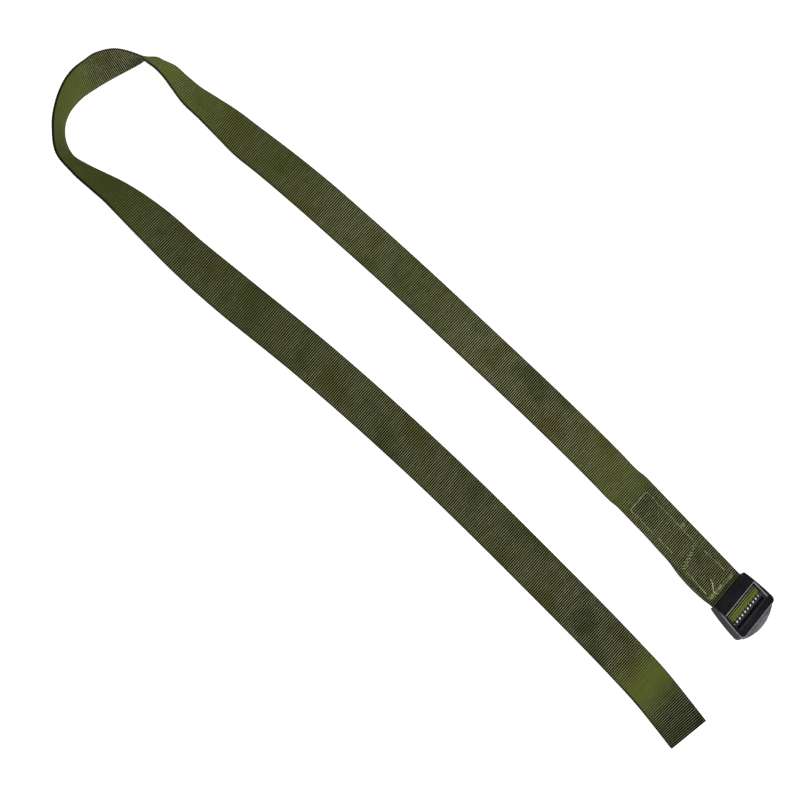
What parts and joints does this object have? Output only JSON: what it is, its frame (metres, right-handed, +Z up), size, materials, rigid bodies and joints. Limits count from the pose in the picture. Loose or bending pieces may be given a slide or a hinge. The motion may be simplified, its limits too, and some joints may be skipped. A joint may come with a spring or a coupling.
{
  "type": "webbing strap tourniquet",
  "caption": "Olive webbing strap tourniquet with a sewn-on black cam buckle at one end and a plain cut end, lying in a long U with a half twist in its loop.",
  "frame": {"origin": "bottom centre of the whole object's box, on the surface it lies on", "axes": "+X along the legs of the U towards the buckle, +Y towards the buckle's leg, +Z up"},
  "size_m": [0.4481, 0.1271, 0.0248],
  "materials": {
    "webbing": "matte woven olive green",
    "thread": "matte light olive thread",
    "buckle_black": "satin black",
    "lever_black": "satin dark grey",
    "pin_steel": "satin black",
    "spring_steel": "oiled"
  },
  "bodies": {
    "strap": {"webbing_strap": "webbing", "long_box_stitch": "thread", "cross_zigzag_stitch": "thread", "short_box_stitch": "thread", "bar_tack_stitch": "thread"},
    "buckle": {"buckle_frame": "buckle_black", "web_bar": "pin_steel", "cam_pivot_pin": "pin_steel", "cam_spring": "spring_steel"},
    "cam_lever": {"cam_lever": "lever_black"}
  },
  "joints": [
    {"name": "buckle_swivel", "type": "hinge", "parent": "strap", "child": "buckle", "pos_m": [0.2015, 0.047, 0.0024], "axis": [0, 1, 0], "range_deg": [0, 90]},
    {"name": "cam_press", "type": "hinge", "parent": "buckle", "child": "cam_lever", "pos_m": [0.21, 0.047, 0.0024], "axis": [0, 1, 0], "range_deg": [0, 15], "stiffness_Nm_per_rad": 0.002, "springref_deg": -11.46}
  ]
}
